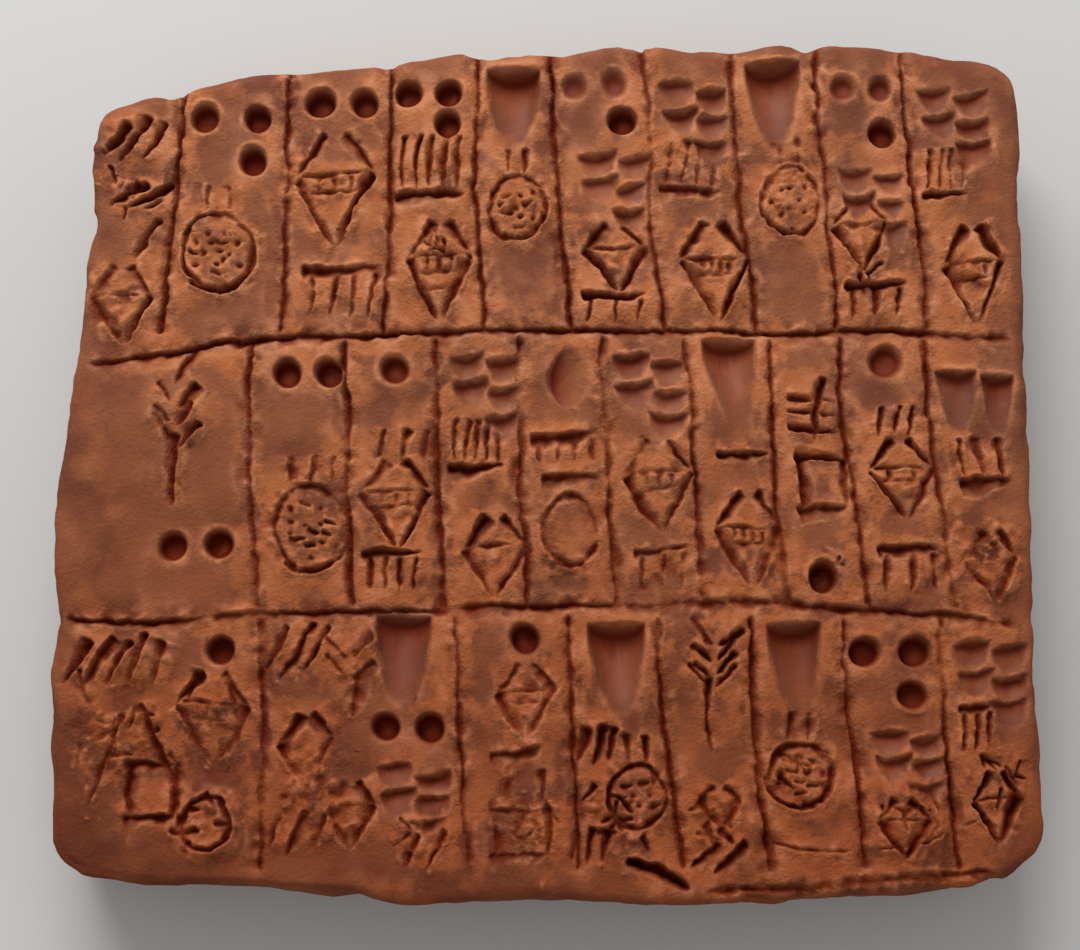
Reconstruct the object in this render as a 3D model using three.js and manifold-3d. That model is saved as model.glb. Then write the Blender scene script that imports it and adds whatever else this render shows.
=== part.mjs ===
// A hand-made clay tablet after the oldest written accounts: a flat, cushion-edged slab, ruled into
// three rows of cases and pressed all over with a round stylus and a sharp one. The strokes are
// made-up groups that spell nothing. One solid piece, lying on its back, in millimetres with +Z up.
// The origin is on the underside, below the middle of the tablet. The face looks up, +Y is its top.

import * as THREE from "three";
import { mergeVertices } from "three/addons/utils/BufferGeometryUtils.js";
import Module from "manifold-3d";

const wasm = await Module();
wasm.setup();

// Driving dimensions of the slab
const WIDTH = 104.6;
const HEIGHT = 94.4;
const THICKNESS = 15;
const RIM_RADIUS = 1.6; // round edge of the face
const FOOT_INSET = 5; // the underside curls up over this width
const WAIST_LOW = 5.5; // the sides stand upright between these two heights
const WAIST_HIGH = 9.5;
const OUTLINE_STEPS = 2; // between one point of the outline and the next

// The styluses: a round stick for pits, its tilted end for nicks and scoops, a sharp edge for strokes
const PIT_RADIUS = 1.7;
const PIT_DEPTH = 2.1;
const PIT_SIDES = 10;
const STICK_SIDES = 16;
const SCOOP = { width: 5.4, depth: 2.1, length: 8.5 };
const NICK = { width: 3.9, depth: 0.85, length: 2.6 };
const EDGE_SLOPE = 0.62; // half the width of a stroke for each unit of its depth
const RULE_DEPTH = 1.05;
const STROKE_DEPTH = 0.95;
const LIGHT_DEPTH = 0.7;
const CLEARANCE = 0.8; // every cutter reaches this far above the clay
const RING_STEPS = 11;
const RULE_STEPS = 4;

// The outline at the tablet's widest section, clockwise from the top left corner
const OUTLINE = [
  [-48.9, 39.5], [-46.8, 40.9], [-40.6, 42.8], [-27.4, 45], [-7.1, 46.2], [26.4, 47.2], [44.7, 46.1],
  [49.4, 45.1], [51.3, 43.3], [51.8, 38.6], [52, 20.3], [52.3, 3], [52.2, -20.3], [52, -37.6], [51.5, -41],
  [49.9, -43.3], [46.7, -44.6], [30.5, -45.9], [13.2, -47.2], [0, -45.9], [-12.2, -46.5], [-30.5, -45.1],
  [-47.2, -43.9], [-50.4, -42.5], [-51.7, -39.4], [-52.3, -24.4], [-51.9, 2], [-50.2, 24.4], [-49.5, 36.8],
];

// Rulings between the rows, from left to right, and between the cases, as [x at the top, x at the bottom]
const ROW_RULES = [
  [[-49.5, 11.2], [-42, 11.9], [-36, 13.4], [-28, 13.7], [-18, 14.2], [-5, 14.6], [18, 14.7], [31, 14.6],
    [40, 14.2], [50.2, 13.5]],
  [[-50.5, -16.9], [-43, -17.2], [-27, -16.5], [-12, -16.2], [5, -15.6], [22, -15.2], [36, -15.8],
    [45, -17.1], [50.2, -18.1]],
];
const CASE_ROWS = [
  {
    top: 48,
    bottom: 14,
    rules: [[-40.2, -42], [-28.6, -29], [-17.5, -17.2], [-7.6, -6.7], [0.7, 2.7], [10.9, 12.8],
      [20.7, 23.3], [30, 32.1], [39.6, 41.7]],
  },
  {
    top: 14.2,
    bottom: -16.3,
    rules: [[-32, -30.4], [-21.4, -20.2], [-11.9, -10.6], [-3, -2], [6.1, 7.5], [15.2, 17.1],
      [24.6, 26.2], [32.5, 34.6], [41.5, 43.4]],
  },
  {
    top: -16.6,
    bottom: -43.5,
    rules: [[-30.3, -29.8], [-9.6, -7.6], [2.6, 3.4], [12.1, 14.5], [21.5, 23.5], [31.9, 33.5], [41.7, 43.3]],
  },
];

// The slab

const outline = new THREE.CatmullRomCurve3(
  OUTLINE.map(([x, y]) => new THREE.Vector3(x, y, 0)).reverse(),
  true,
).getPoints(OUTLINE_STEPS * OUTLINE.length).slice(1);

// How far a point of the face lies inside the outline
function insetAt(x, y) {
  const point = new THREE.Vector3(x, y, 0);
  const foot = new THREE.Vector3();
  const distances = outline.map((corner, k) => {
    const side = new THREE.Line3(corner, outline[(k + 1) % outline.length]);
    return side.closestPointToPoint(point, true, foot).distanceTo(point);
  });
  return Math.min(...distances);
}

// The clay's surface before it is written on: flat, and rolling over at the rim
function faceHeight(inset) {
  const roll = Math.max(0, RIM_RADIUS - inset);
  const drop = RIM_RADIUS - Math.sqrt(RIM_RADIUS ** 2 - roll ** 2);
  return THICKNESS - drop;
}

// A closed skin over a stack of rings, capped at both ends, or run round and joined to itself
function loft(rings, endless = false) {
  const count = rings[0].length;
  const points = rings.flat();
  const index = [];
  const at = (ring, k) => (ring % rings.length) * count + (k % count);
  for (let ring = 0; ring < rings.length - (endless ? 0 : 1); ring++) {
    for (let k = 0; k < count; k++) {
      index.push(at(ring, k), at(ring, k + 1), at(ring + 1, k + 1));
      index.push(at(ring, k), at(ring + 1, k + 1), at(ring + 1, k));
    }
  }
  if (!endless) {
    for (const ring of [0, rings.length - 1]) {
      const middle = points.length;
      const sum = rings[ring].reduce((total, point) => total.add(point), new THREE.Vector3());
      points.push(sum.divideScalar(count));
      for (let k = 0; k < count; k++) {
        const edge = ring === 0 ? [at(ring, k + 1), at(ring, k)] : [at(ring, k), at(ring, k + 1)];
        index.push(middle, ...edge);
      }
    }
  }
  return new THREE.BufferGeometry().setFromPoints(points).setIndex(index);
}

// One level of the slab: the outline drawn in by an inset
function level(inset, height) {
  const shrinkX = 1 - (2 * inset) / WIDTH;
  const shrinkY = 1 - (2 * inset) / HEIGHT;
  return outline.map(({ x, y }) => new THREE.Vector3(x * shrinkX, y * shrinkY, height));
}

function slab() {
  const underside = [level(FOOT_INSET, 0), level(FOOT_INSET * 0.22, 0.3 * WAIST_LOW)];
  const sides = [level(0, WAIST_LOW), level(0, WAIST_HIGH)];
  const rim = [0.13, 0.5, 1].map((share) => level(share * RIM_RADIUS, faceHeight(share * RIM_RADIUS)));
  return loft([...underside, ...sides, ...rim]);
}

// Cutting tools

function solid(geometry) {
  const bare = geometry.clone();
  bare.deleteAttribute("normal");
  bare.deleteAttribute("uv");
  const merged = mergeVertices(bare, 1e-4);
  const vertProperties = merged.attributes.position.array;
  const triVerts = new Uint32Array(merged.index.array);
  return new wasm.Manifold(new wasm.Mesh({ numProp: 3, vertProperties, triVerts }));
}

const cuts = [];

// The sharp edge drawn along points of the face: a V that is as wide as it is deep, by one slope.
// Shares of the depth follow the points, and 0 is where the edge leaves the clay.
function draw(points, depth, shares, endless = false) {
  const last = points.length - 1;
  const rings = points.map(([x, y], k) => {
    const before = points[endless ? (k + last) % (last + 1) : Math.max(0, k - 1)];
    const after = points[endless ? (k + 1) % (last + 1) : Math.min(last, k + 1)];
    const along = new THREE.Vector2(after[0] - before[0], after[1] - before[1]).normalize();
    const sunk = depth * shares[k];
    const half = EDGE_SLOPE * (sunk + CLEARANCE);
    const z = faceHeight(insetAt(x, y));
    return [
      new THREE.Vector3(x - along.y * half, y + along.x * half, z + CLEARANCE),
      new THREE.Vector3(x + along.y * half, y - along.x * half, z + CLEARANCE),
      new THREE.Vector3(x, y, z - sunk),
    ];
  });
  cuts.push(solid(loft(rings, endless)));
}

// One pressed stroke: deepest a third of the way along, rising to the surface at both ends
function stroke(x0, y0, x1, y1, depth = STROKE_DEPTH) {
  const along = (share) => [x0 + share * (x1 - x0), y0 + share * (y1 - y0)];
  draw([along(0), along(0.35), along(1)], depth, [-0.05, 1, -0.05]);
}

// The round stick pressed straight in, with its worn end
function pit(x, y, depth = PIT_DEPTH, radius = PIT_RADIUS) {
  const worn = [[0, -depth], [0.8 * radius, -depth], [1.05 * radius, 0]];
  const shaft = [[1.1 * radius, CLEARANCE], [0, CLEARANCE]];
  const profile = [...worn, ...shaft].map(([r, z]) => new THREE.Vector2(r, z));
  const stick = new THREE.LatheGeometry(profile, PIT_SIDES).rotateX(Math.PI / 2);
  cuts.push(solid(stick.translate(x, y, faceHeight(insetAt(x, y)))));
}

// The round stick laid over and pushed in, so that its flat end leaves a steep head and its side a
// trough that rises to the surface. The head is at x, y, and the trough runs down the face.
function scoop(x, y, { width, depth, length }, turn = 0) {
  const radius = ((width / 2) ** 2 + depth ** 2) / (2 * depth);
  const dip = Math.atan2(depth, length);
  const stick = new THREE.CylinderGeometry(radius, radius, 2 * length, STICK_SIDES);
  stick.rotateY(Math.PI / STICK_SIDES).translate(0, -length, 0).rotateX(-dip);
  stick.translate(0, 0, radius * Math.cos(dip) - depth).rotateZ(turn);
  cuts.push(solid(stick.translate(x, y, faceHeight(insetAt(x, y)))));
}

// Groups of strokes

function pits(places, depth) {
  for (const [x, y] of places) {
    pit(x, y, depth);
  }
}

// Five nicks in two staggered columns
function nicks(x, y, pitch = 3, lean = 0.12) {
  const places = [[-2.1, 0], [2, -0.2], [-1.6, -1], [2, -1.25], [1.9, -2.15]];
  for (const [across, down] of places) {
    scoop(x + across, y + down * pitch, NICK, lean);
  }
}

// Upright strokes side by side, and a bar above them (+1), below them (-1) or none (0)
function comb(x, y, width, height, teeth, bar = 0, slant = 0.05) {
  for (let tooth = 0; tooth < teeth; tooth++) {
    const foot = x + width * (tooth / (teeth - 1) - 0.5);
    const tilt = slant * height * (1 + tooth % 2);
    stroke(foot + tilt, y + height / 2, foot, y - height / 2, LIGHT_DEPTH);
  }
  if (bar !== 0) {
    const level = y + bar * (height / 2 + 0.5);
    stroke(x - 0.62 * width, level, x + 0.66 * width, level + 0.06 * width);
  }
}

// Four strokes round a pointed field, crossed by bars
function lozenge(x, y, width, height, bars = 2) {
  const [left, right] = [x - width / 2, x + width / 2];
  const [top, shoulder, tip] = [y + height / 2, y + 0.14 * height, y - height / 2];
  stroke(x - 0.16 * width, top, left, shoulder);
  stroke(x + 0.16 * width, top, right, shoulder + 0.04 * height);
  stroke(left, shoulder - 0.05 * height, x, tip);
  stroke(right, shoulder, x + 0.06 * width, tip);
  for (let bar = 0; bar < bars; bar++) {
    const drop = 0.17 * height * bar;
    const reach = 0.42 * width * (1 - 0.3 * bar);
    stroke(x - reach, shoulder - drop, x + reach, shoulder - drop + 0.2, LIGHT_DEPTH);
  }
}

// A drawn ring, a little egg-shaped, with upright strokes over it
function oval(x, y, radiusX, radiusY, ticks = 2) {
  const turns = Array.from({ length: RING_STEPS }, (_, k) => (2 * Math.PI * k) / RING_STEPS);
  const points = turns.map((turn) => [
    x + radiusX * Math.cos(turn) * (1 - 0.08 * Math.sin(turn)),
    y + radiusY * Math.sin(turn),
  ]);
  draw(points, LIGHT_DEPTH, turns.map((turn) => 1 - 0.2 * Math.sin(turn + 1)), true);
  if (ticks > 0) {
    comb(x, y + radiusY + 1.9, 0.55 * radiusX * (ticks - 1), 2.6, ticks, 0, 0);
  }
}

// A stem with strokes slanting off to its sides
function branch(x, y, height, pairs, lean = 0) {
  stroke(x + lean, y + 0.1 * height, x, y - height / 2);
  for (let pair = 0; pair < pairs; pair++) {
    const root = y + height * (0.5 * (pair + 0.6) / pairs - 0.05);
    stroke(x + 2.6, root + 2.2, x + 0.3, root - 0.2);
    stroke(x - 2.7, root + 1.9, x - 0.3, root - 0.3, LIGHT_DEPTH);
  }
}

// Slanting strokes side by side
function hatch(x, y, count, pitch, length, slant = 0.6) {
  for (let line = 0; line < count; line++) {
    const middle = x + pitch * (line - (count - 1) / 2);
    const rise = (0.5 + 0.12 * (line % 2)) * length;
    stroke(middle + slant * rise, y + rise, middle - slant * rise, y - rise);
  }
}

// Four strokes that enclose a square field
function frame(x, y, width, height) {
  const [left, right] = [x - width / 2, x + width / 2];
  const [low, high] = [y - height / 2, y + height / 2];
  stroke(left - 0.4, high, right + 0.3, high + 0.2);
  stroke(left, high, left + 0.2, low);
  stroke(right, high + 0.2, right - 0.1, low + 0.3);
  stroke(left - 0.3, low, right, low + 0.3);
}

// Writing the tablet

function rule() {
  for (const points of ROW_RULES) {
    draw(points, RULE_DEPTH, points.map((_, k) => (k === 0 || k === points.length - 1 ? 0.3 : 1)));
  }
  for (const { top, bottom, rules } of CASE_ROWS) {
    for (const [xTop, xBottom] of rules) {
      const shares = Array.from({ length: RULE_STEPS }, (_, k) => k / (RULE_STEPS - 1));
      const points = shares.map((share) => [
        xTop + (xBottom - xTop) * share ** 1.5,
        top + (bottom - top) * share,
      ]);
      draw(points, RULE_DEPTH, shares.map((share) => 1 - 0.25 * Math.sin(Math.PI * share)));
    }
  }
}

function writeTopRow() {
  hatch(-45.4, 36.6, 3, 2.1, 4);
  hatch(-44.8, 30, 2, 2.4, 2.6, 1.4);
  stroke(-42.4, 27, -45.2, 22.6);
  lozenge(-46.2, 17.6, 6.4, 8.4, 1);

  pits([[-38, 38.9], [-31.9, 39], [-32.5, 34.2]]);
  oval(-36, 23.7, 4.2, 4.5);

  pits([[-25, 40.6], [-20.2, 40.5]]);
  lozenge(-23.4, 30.6, 8.6, 13);
  comb(-22.4, 18.4, 6.6, 4.8, 4, 1);

  pits([[-15.3, 41.7], [-10.7, 41.7], [-10.7, 38]]);
  comb(-12.7, 33.4, 6.4, 6, 5, -1);
  lozenge(-11.6, 21, 6.8, 11, 3);

  scoop(-3.4, 43.4, SCOOP);
  oval(-2.8, 28.4, 2.9, 3.6);

  pits([[3.1, 42.6], [7.6, 42.7]], 1.3);
  pit(8.1, 38.4);
  nicks(7.6, 34.1);
  lozenge(7.6, 22.8, 7, 7, 1);
  comb(7.2, 16.9, 5.4, 2.6, 3, 1);

  nicks(16.4, 42.4);
  comb(16, 33.4, 5, 5.2, 4, -1);
  lozenge(18.6, 21.4, 7, 11.4);

  scoop(25.4, 44, SCOOP, 0.05);
  oval(26.9, 29.4, 3.1, 3.8);

  pits([[33, 42.2], [37.3, 42.2]], 1.4);
  pit(37.4, 37.2);
  nicks(36.2, 32.6);
  lozenge(34.6, 25.4, 5.6, 8, 1);
  comb(36, 17.4, 5, 3.6, 3, 1);

  nicks(45.5, 42);
  comb(44, 32.8, 3.6, 5, 4, -1);
  lozenge(46.8, 20.8, 6.2, 11, 2);
}

function writeMiddleRow() {
  branch(-40.3, 1.6, 13, 3, 0.4);
  stroke(-38.4, 12.6, -40.4, 8.6);
  pits([[-39.9, -9.2], [-34.9, -9]]);

  pits([[-27.9, 9.7], [-23.2, 9.8]]);
  oval(-24.9, -7.1, 3.9, 4.5, 3);

  pit(-16.2, 10.2, 1.6);
  comb(-15.4, 2, 4.6, 3, 3, 0, 0.12);
  lozenge(-16, -4.6, 7, 9.6);
  comb(-16.4, -12.3, 4.8, 3.6, 4, 1);

  nicks(-6.3, 11.4);
  comb(-7.4, 2.4, 4.8, 4.6, 5, -1);
  lozenge(-5.3, -10.6, 6.4, 9, 1);

  scoop(1.8, 9.2, { width: 6.6, depth: 1.1, length: 5 }, Math.PI / 2);
  comb(2.1, 1.2, 5.6, 2.2, 4, 1);
  stroke(-0.2, -1.7, 6, -1.5);
  oval(2.6, -7.5, 2.8, 4.1, 0);

  nicks(11.4, 11);
  lozenge(12.1, -2.8, 6.8, 9.6);
  comb(12.4, -12, 4.4, 3.6, 3, 1);

  scoop(20.2, 12.4, SCOOP, 0.06);
  stroke(18.6, 0.6, 24.2, 0.9);
  lozenge(21.8, -8.6, 6.8, 10.4);

  stroke(30.6, 9.4, 29.6, 2.6);
  for (const y of [6.8, 5.4, 3.6]) {
    stroke(26.6, y, 32.8, y + 0.2, LIGHT_DEPTH);
  }
  frame(30.2, -2.6, 5, 5.6);
  pit(29.6, -12.4, 2.4);

  pit(37.2, 10.8, 1.5, 2);
  comb(38, 4.4, 3.2, 2.8, 3, 0, 0.1);
  lozenge(38.5, -2, 6.6, 8.8);
  comb(38.8, -11.8, 5, 3.8, 3, 1);

  scoop(44.6, 9.2, { width: 4.4, depth: 1.5, length: 6.5 });
  scoop(49, 8.8, { width: 3.8, depth: 1.4, length: 6 });
  comb(47, 0.4, 3.8, 4.2, 3, -1, -0.08);
  lozenge(47.6, -11.6, 5.4, 7.4, 1);
}

function writeBottomRow() {
  hatch(-47.4, -21.6, 3, 2.2, 4.4);
  stroke(-42.4, -18.6, -44.4, -24.4);
  stroke(-44.2, -27.4, -47.4, -36.6);
  stroke(-42.6, -26.4, -40.6, -30.6);
  frame(-41.2, -35, 4.6, 5.4);
  pit(-34.7, -20.5);
  lozenge(-35.2, -27.6, 7.4, 9, 2);
  oval(-35.4, -38.4, 2.6, 2.7, 0);

  hatch(-26.4, -20.4, 3, 2.1, 4.6);
  branch(-20.6, -23.6, 9, 2, 1);
  lozenge(-25.4, -31, 5.4, 7.6, 0);
  hatch(-26, -39.6, 3, 2.4, 3.4, 0.35);
  scoop(-14.9, -18, SCOOP);
  pits([[-16.8, -28.5], [-12, -28.5]]);
  nicks(-13.8, -33.2, 2.7, 0.2);
  lozenge(-20.4, -38, 4.4, 6.8, 1);
  hatch(-12.6, -41.4, 2, 2.8, 2.8);

  pit(-2.2, -19.3);
  lozenge(-2, -25.8, 6, 7.6, 2);
  stroke(-5.4, -31.2, -0.4, -30.8);
  comb(-2.2, -34.4, 3.6, 3, 2);
  frame(-2.4, -39.6, 5.4, 5);
  oval(-2, -39.4, 1.2, 1.2, 0);

  scoop(7.7, -19, SCOOP, 0.05);
  hatch(5.6, -30.4, 3, 1.5, 3.2, 0.3);
  oval(9.6, -36, 3.1, 3.3);
  hatch(4.6, -41, 3, 1.6, 3, 0.2);

  branch(17.8, -24.6, 12, 4, -0.4);
  lozenge(18.4, -37, 4.4, 4.4, 1);
  hatch(18, -42, 2, 2.6, 2.4, 1.1);

  scoop(26.4, -18.9, SCOOP, 0.08);
  oval(27, -33.4, 3.4, 3.4);

  pits([[34.1, -20.4], [39.2, -20.4], [38.8, -25]]);
  nicks(38.3, -29.6, 2.4);
  lozenge(37.6, -39.2, 5.4, 6, 1);

  nicks(47.1, -20.2, 2.8);
  comb(45.4, -29, 2.8, 4, 3, 1);
  lozenge(47.4, -37, 5, 6.8, 1);
}

rule();
writeTopRow();
writeMiddleRow();
writeBottomRow();

const written = solid(slab()).subtract(cuts.reduce((joined, cut) => joined.add(cut)));
const { vertProperties, triVerts } = written.getMesh();
const geometry = new THREE.BufferGeometry();
geometry.setAttribute("position", new THREE.BufferAttribute(vertProperties, 3));
geometry.setIndex(new THREE.BufferAttribute(triVerts, 1));
geometry.computeVertexNormals();

const clay = new THREE.MeshStandardMaterial({ color: 0x8a5136, roughness: 0.62, metalness: 0 });
const tablet = new THREE.Mesh(geometry, clay);
tablet.name = "tablet";
const size = new THREE.Box3().setFromBufferAttribute(geometry.getAttribute("position"));
const middle = size.getCenter(new THREE.Vector3());
tablet.position.set(-middle.x, -middle.y, -size.min.z);

const part = new THREE.Group();
part.add(tablet);

export default part;
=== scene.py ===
"""A hand-made clay tablet, ruled into cases and pressed all over with two styluses, lying face up."""

import math

import bpy
import numpy as np
from bpy.props import FloatProperty, FloatVectorProperty, IntProperty, PointerProperty
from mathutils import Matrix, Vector


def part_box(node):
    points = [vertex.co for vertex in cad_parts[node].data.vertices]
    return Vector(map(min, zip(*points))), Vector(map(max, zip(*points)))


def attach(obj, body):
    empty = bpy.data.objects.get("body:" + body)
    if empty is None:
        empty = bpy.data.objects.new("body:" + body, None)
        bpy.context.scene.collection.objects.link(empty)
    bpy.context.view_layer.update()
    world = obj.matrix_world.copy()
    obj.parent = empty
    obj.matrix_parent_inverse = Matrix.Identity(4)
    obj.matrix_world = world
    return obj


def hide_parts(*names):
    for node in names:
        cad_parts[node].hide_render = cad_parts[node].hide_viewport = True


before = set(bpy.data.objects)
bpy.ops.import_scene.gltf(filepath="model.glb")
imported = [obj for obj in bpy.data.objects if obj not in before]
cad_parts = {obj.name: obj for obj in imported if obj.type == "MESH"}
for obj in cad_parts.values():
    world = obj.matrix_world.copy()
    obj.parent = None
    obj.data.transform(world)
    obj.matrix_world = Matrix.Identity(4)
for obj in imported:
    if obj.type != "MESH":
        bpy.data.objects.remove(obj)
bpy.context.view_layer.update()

bl_info = {
    "name": "Clay tablet",
    "version": (1, 0, 0),
    "blender": (4, 5, 0),
    "location": "View3D > Sidebar > Tablet",
    "description": "Models a written clay tablet and the stage it is shown on",
    "category": "Object",
}

MM = 0.001
LOW, HIGH = (Vector(corner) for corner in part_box("tablet"))
WIDTH = HIGH.x - LOW.x
HEIGHT = HIGH.y - LOW.y
THICKNESS = HIGH.z - LOW.z

# Rulings in millimetres: between the rows, and between the cases as (x at the top, x at the bottom)
ROW_RULES = (
    ((-49.5, 11.2), (-42, 11.9), (-36, 13.4), (-28, 13.7), (-18, 14.2), (-5, 14.6), (18, 14.7), (31, 14.6),
     (40, 14.2), (50.6, 13.5)),
    ((-50.8, -16.9), (-43, -17.2), (-27, -16.5), (-12, -16.2), (5, -15.6), (22, -15.2), (36, -15.8),
     (45, -17.1), (50.6, -18.1)),
)
CASE_RULES = (
    (47.2, 14.4, ((-40.2, -42), (-28.6, -29), (-17.5, -17.2), (-7.6, -6.7), (0.7, 2.7), (10.9, 12.8),
                  (20.7, 23.3), (30, 32.1), (39.6, 41.7))),
    (13.9, -15.9, ((-32, -30.4), (-21.4, -20.2), (-11.9, -10.6), (-3, -2), (6.1, 7.5), (15.2, 17.1),
                   (24.6, 26.2), (32.5, 34.6), (41.5, 43.4))),
    (-16.8, -43.2, ((-30.3, -29.8), (-9.6, -7.6), (2.6, 3.4), (12.1, 14.5), (21.5, 23.5), (31.9, 33.5),
                    (41.7, 43.3))),
)
# Patches of torn clay as (x, y, reach)
ROUGH_PATCHES = (
    (-44, -30, 4), (-37, -38, 3), (-24, -36, 4), (-13, -40, 3), (-2, -38, 3), (8, -39, 4), (18, -39, 3),
    (27, -32, 3), (38, -37, 3.5), (47, -34, 3), (-12, 24, 2.5), (35, 21, 3), (29.6, -12, 2.5), (47, -9, 2.5),
    (-46, 30, 2.5),
)
# Chips out of the edge as (x, y, reach, depth)
CHIPS = (
    (-50.5, 27, 0.9, 0.9), (-41.5, 42.6, 1.2, 0.8), (49.5, -42.5, 1.6, 1.0), (46.5, -45, 1.3, 0.8),
    (12, -46, 2.2, 0.9), (26, -45.4, 1.4, 0.5), (-20, -45.6, 2.5, 0.5), (52, 10, 1.5, 0.6),
    (52, -17, 1.2, 0.7), (29, 47, 1.3, 0.6), (-6, 46.6, 1.4, 0.5), (-51, -16.9, 1.2, 0.7),
)
# Height in millimetres above which the edge is chipped, and over which a chip reaches its full depth
CHIP_FOOT = 7
CHIP_RISE = 5
# Height in millimetres below which the sides grow smoother, and above which the rim is rough
SMOOTH_FOOT = 4
ROUGH_RIM = 12
RIM_BUMPS = 0.12

# Grain sizes of the clay's colour and skin in metres
PATCH_SIZE = 0.01
BLOTCH_SIZE = 0.0045
MOTTLE_SIZE = 0.0026
SKIN_SIZE = 0.0014
GRAIN_SIZE = 0.0004
SKIN_DEPTH = 0.0003
SKIN_STRENGTH = 0.9
SHEEN_ROUGHNESS = 0.48
SPECULAR_LEVEL = 0.03
# Places up the face, in metres, between which painted shade darkens the clay towards the bottom
PAINTED_SHADE_TOP = 0.025
PAINTED_SHADE_BOTTOM = -0.05

# Stage
FLOOR_SIZE = 4.0
FLOOR_ROUGHNESS = 0.9
WINDOW_PLACE = Vector((-0.1, 0.4, 0.34))
WINDOW_SIZE = 0.42
WINDOW_COLOUR = (1.0, 0.97, 0.93)
SKY_COLOUR = (1.0, 0.98, 0.96)
SENSOR_WIDTH = 36
NEAREST = 0.01


class TabletSettings(bpy.types.PropertyGroup):
    """Sizes and colours of the tablet."""

    rim_radius: FloatProperty(
        name="Rim radius", description="Round edge of the written face", default=0.0012, unit="LENGTH")
    foot_inset: FloatProperty(
        name="Foot inset", description="Width over which the underside curls up", default=0.005,
        unit="LENGTH")
    waist: FloatProperty(
        name="Waist", description="Height where the sides start to curl under", default=0.0055, unit="LENGTH")
    relief_cell: FloatProperty(
        name="Relief cell", description="Grid size on which the face is pressed", default=0.00011,
        unit="LENGTH")
    mesh_cell: FloatProperty(
        name="Mesh cell", description="Edge length of the face's mesh before thinning", default=0.00014,
        unit="LENGTH")
    triangles: IntProperty(
        name="Triangles", description="Number of triangles after thinning", default=192000)
    seed: IntProperty(name="Seed", description="Start of the hand's irregularities", default=7)
    floor_colour: FloatVectorProperty(
        name="Smooth clay", description="Flat floors of the cases", subtype="COLOR", size=3,
        default=(0.28, 0.094, 0.045))
    shade_colour: FloatVectorProperty(
        name="Dull clay", description="Greyer patches where hands have rubbed it", subtype="COLOR", size=3,
        default=(0.175, 0.056, 0.033))
    fresh_colour: FloatVectorProperty(
        name="Fresh clay", description="Orange patches where the skin is torn off", subtype="COLOR", size=3,
        default=(0.49, 0.155, 0.055))
    # Rubbed raised edges, their colour made paler as a painted highlight
    rubbed_highlight_colour: FloatVectorProperty(
        name="Rubbed clay", description="Pale raised edges", subtype="COLOR", size=3,
        default=(0.6, 0.232, 0.106))
    # Painted shade: this tint darkens the sides and the lower part of the written face
    painted_shade_tint: FloatVectorProperty(
        name="Low tint", description="Darkening of the sides and the lower edge", subtype="COLOR", size=3,
        default=(0.76, 0.6, 0.53))
    # Painted shade: redder darkening of the broad hollows
    deep_shade_colour: FloatVectorProperty(
        name="Deep clay", description="Redder clay in the hollows", subtype="COLOR", size=3,
        default=(0.25, 0.03, 0.003))
    # Painted shade: near-black darkening of the creases
    crease_shade_colour: FloatVectorProperty(
        name="Stained clay", description="Dark wash left in the creases", subtype="COLOR", size=3,
        default=(0.11, 0.006, 0.0004))


class StageSettings(bpy.types.PropertyGroup):
    """Camera, light and floor."""

    distance: FloatProperty(
        name="Distance", description="From the camera to the written face", default=0.24, unit="LENGTH")
    tilt: FloatProperty(
        name="Tilt", description="Camera's lean away from straight down", default=math.radians(11),
        subtype="ANGLE")
    lens: FloatProperty(name="Lens", description="Focal length in millimetres", default=74.33)
    aim_x: FloatProperty(
        name="Aim across", description="Middle of the picture, across the face", default=-0.00054,
        unit="LENGTH")
    aim_y: FloatProperty(
        name="Aim up", description="Middle of the picture, up the face", default=-0.00147, unit="LENGTH")
    window_power: FloatProperty(name="Window light", description="Power of the main light", default=2.6)
    sky: FloatProperty(name="Sky light", description="Strength of the even light all round", default=0.42)
    floor_colour: FloatVectorProperty(
        name="Floor", description="Pale floor", subtype="COLOR", size=3, default=(0.64, 0.65, 0.655))


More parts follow.
